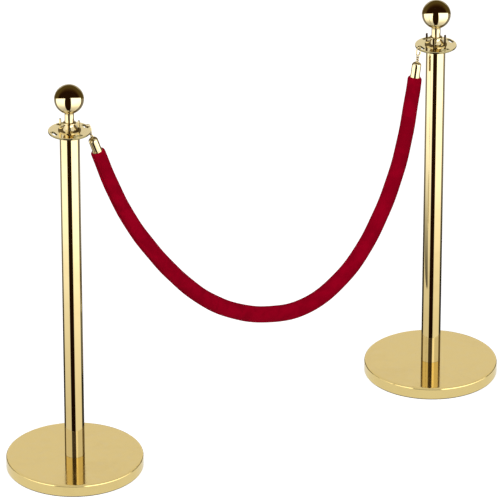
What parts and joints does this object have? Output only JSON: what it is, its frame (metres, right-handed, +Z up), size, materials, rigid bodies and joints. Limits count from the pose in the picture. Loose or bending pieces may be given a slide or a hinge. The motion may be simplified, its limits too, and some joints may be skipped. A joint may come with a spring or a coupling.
{
  "type": "rope stanchion set",
  "caption": "Ball-top crowd-control posts on round weighted bases, joined by a sagging red velvet rope with a snap hook at each end.",
  "frame": {"origin": "on the floor, midway between the two posts' axes", "axes": "+Z up; +X from the left post to the right post; +Y away from the viewer who sees the left post on the left"},
  "size_m": [1.296, 0.32, 0.965],
  "materials": {
    "polished_brass": "polished to a mirror, warm gold",
    "hook_brass": "bright cast brass, slightly softer shine",
    "red_velvet": "short-pile velvet with a soft sheen",
    "core_fibre": "soft open filling",
    "cast_iron": "rough grey casting, painted",
    "rubber": "matt black",
    "zinc_steel": "zinc plated",
    "spring_steel": "bright wire"
  },
  "bodies": {
    "posts": {"left_base_weight": "cast_iron", "left_base_cover": "polished_brass", "left_base_ring": "rubber", "left_base_washer": "zinc_steel", "left_base_bolt": "zinc_steel", "left_lower_plug": "zinc_steel", "left_tube": "polished_brass", "left_upper_plug": "zinc_steel", "left_hook_plate": "polished_brass", "left_finial_bell": "polished_brass", "left_ball": "polished_brass", "left_finial_stud": "zinc_steel", "left_snap_hook": "hook_brass", "left_gate_pin": "spring_steel", "left_gate_spring": "spring_steel", "right_base_weight": "cast_iron", "right_base_cover": "polished_brass", "right_base_ring": "rubber", "right_base_washer": "zinc_steel", "right_base_bolt": "zinc_steel", "right_lower_plug": "zinc_steel", "right_tube": "polished_brass", "right_upper_plug": "zinc_steel", "right_hook_plate": "polished_brass", "right_finial_bell": "polished_brass", "right_ball": "polished_brass", "right_finial_stud": "zinc_steel", "right_snap_hook": "hook_brass", "right_gate_pin": "spring_steel", "right_gate_spring": "spring_steel"},
    "rope": {"left_link_ring": "hook_brass", "left_cap_eye": "hook_brass", "left_rope_cap": "polished_brass", "left_eye_nut": "zinc_steel", "left_cap_pin": "hook_brass", "right_link_ring": "hook_brass", "right_cap_eye": "hook_brass", "right_rope_cap": "polished_brass", "right_eye_nut": "zinc_steel", "right_cap_pin": "hook_brass", "velvet_sleeve": "red_velvet", "rope_core": "core_fibre"},
    "left_gate": {"left_hook_gate": "hook_brass"},
    "right_gate": {"right_hook_gate": "hook_brass"}
  },
  "joints": [
    {"name": "rope_swing", "type": "hinge", "parent": "posts", "child": "rope", "pos_m": [-0.43366, 0, 0.83164], "axis": [1, 0, -0.0013], "range_deg": [-75, 75]},
    {"name": "left_gate_hinge", "type": "hinge", "parent": "posts", "child": "left_gate", "pos_m": [-0.44245, 0, 0.84089], "axis": [0, 1, 0], "range_deg": [0, 32], "stiffness_Nm_per_rad": 0.004, "springref_deg": -20.05},
    {"name": "right_gate_hinge", "type": "hinge", "parent": "posts", "child": "right_gate", "pos_m": [0.44484, 0, 0.8414], "axis": [0, -1, 0], "range_deg": [0, 32], "stiffness_Nm_per_rad": 0.004, "springref_deg": -20.05}
  ]
}
